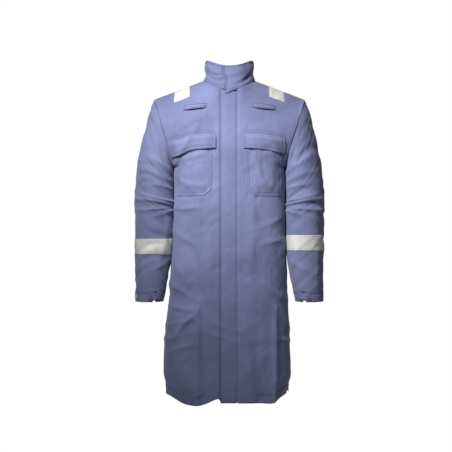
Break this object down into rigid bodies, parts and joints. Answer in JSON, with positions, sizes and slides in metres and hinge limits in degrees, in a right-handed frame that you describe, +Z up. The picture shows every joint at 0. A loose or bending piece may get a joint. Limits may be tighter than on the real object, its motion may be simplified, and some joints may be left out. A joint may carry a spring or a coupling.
{
  "type": "welder's coat",
  "caption": "Long-sleeved flame-retardant welder's coat with a stand collar, concealed snap placket, flapped chest pockets and reflective tape.",
  "frame": {"origin": "inside the hanger loop at the centre back of the neck seam", "axes": "+Z up, -Y towards the coat's front, +X towards the wearer's left"},
  "size_m": [0.6234, 0.2576, 1.1034],
  "materials": {
    "coat_cloth": "matte blue cotton twill",
    "inner_cloth": "matte blue cotton twill, inner side",
    "reflective_tape": "satin retroreflective tape",
    "hook_and_loop": "matte hook-and-loop tape",
    "snap_metal": "dull pressed metal",
    "label_cloth": "matte woven label"
  },
  "bodies": {
    "coat_body": {"front_right": "coat_cloth", "front_left": "coat_cloth", "back_panel": "coat_cloth", "back_yoke": "coat_cloth", "inner_fly": "inner_cloth", "snap_cap_1": "snap_metal", "snap_stud_1": "snap_metal", "snap_cap_2": "snap_metal", "snap_stud_2": "snap_metal", "snap_cap_3": "snap_metal", "snap_stud_3": "snap_metal", "snap_cap_4": "snap_metal", "snap_stud_4": "snap_metal", "snap_cap_5": "snap_metal", "snap_stud_5": "snap_metal", "snap_cap_6": "snap_metal", "snap_stud_6": "snap_metal", "snap_cap_7": "snap_metal", "snap_stud_7": "snap_metal", "collar": "coat_cloth", "collar_lining": "inner_cloth", "collar_loop_patch": "hook_and_loop", "neck_label": "label_cloth", "hanger_loop": "coat_cloth", "pocket_left": "coat_cloth", "pocket_loop_patch_left": "hook_and_loop", "device_loop_left": "coat_cloth", "shoulder_tape_left": "reflective_tape", "slit_welt_left": "coat_cloth", "pocket_right": "coat_cloth", "pocket_loop_patch_right": "hook_and_loop", "device_loop_right": "coat_cloth", "shoulder_tape_right": "reflective_tape", "slit_welt_right": "coat_cloth"},
    "placket": {"placket_flap": "coat_cloth"},
    "collar_closure": {"collar_flap": "coat_cloth", "collar_hook_patch": "hook_and_loop"},
    "pocket_flap_body_left": {"pocket_flap_left": "coat_cloth", "flap_hook_patch_left": "hook_and_loop"},
    "sleeve_body_left": {"sleeve_left": "coat_cloth", "sleeve_tape_left": "reflective_tape", "cuff_left": "coat_cloth", "cuff_stud_left": "snap_metal"},
    "cuff_tab_body_left": {"cuff_tab_left": "coat_cloth", "cuff_cap_left": "snap_metal"},
    "pocket_flap_body_right": {"pocket_flap_right": "coat_cloth", "flap_hook_patch_right": "hook_and_loop"},
    "sleeve_body_right": {"sleeve_right": "coat_cloth", "sleeve_tape_right": "reflective_tape", "cuff_right": "coat_cloth", "cuff_stud_right": "snap_metal", "cuff_label": "label_cloth"},
    "cuff_tab_body_right": {"cuff_tab_right": "coat_cloth", "cuff_cap_right": "snap_metal"}
  },
  "joints": [
    {"name": "placket_hinge", "type": "hinge", "parent": "coat_body", "child": "placket", "pos_m": [0.02711, -0.19629, -0.52409], "axis": [-0.0001, 0.0501, 0.9987], "range_deg": [0, 100]},
    {"name": "collar_flap_hinge", "type": "hinge", "parent": "coat_body", "child": "collar_closure", "pos_m": [0.06711, -0.13809, 0.03673], "axis": [-0.0638, 0.0535, 0.9965], "range_deg": [0, 110]},
    {"name": "pocket_flap_hinge_left", "type": "hinge", "parent": "coat_body", "child": "pocket_flap_body_left", "pos_m": [0.11121, -0.17158, -0.16427], "axis": [-0.9975, -0.0346, 0.0621], "range_deg": [0, 90]},
    {"name": "sleeve_swing_left", "type": "hinge", "parent": "coat_body", "child": "sleeve_body_left", "pos_m": [0.25344, -0.085, -0.04951], "axis": [0, -1, 0], "range_deg": [0, 70]},
    {"name": "cuff_tab_hinge_left", "type": "hinge", "parent": "sleeve_body_left", "child": "cuff_tab_body_left", "pos_m": [0.22645, -0.14873, -0.68873], "axis": [0.1911, -0.0188, -0.9814], "range_deg": [0, 95]},
    {"name": "pocket_flap_hinge_right", "type": "hinge", "parent": "coat_body", "child": "pocket_flap_body_right", "pos_m": [-0.11121, -0.17158, -0.16427], "axis": [-0.9975, 0.0346, -0.0621], "range_deg": [0, 90]},
    {"name": "sleeve_swing_right", "type": "hinge", "parent": "coat_body", "child": "sleeve_body_right", "pos_m": [-0.25344, -0.085, -0.04951], "axis": [0, 1, 0], "range_deg": [0, 70]},
    {"name": "cuff_tab_hinge_right", "type": "hinge", "parent": "sleeve_body_right", "child": "cuff_tab_body_right", "pos_m": [-0.22645, -0.14873, -0.68873], "axis": [0.1911, 0.0188, 0.9814], "range_deg": [0, 95]}
  ]
}
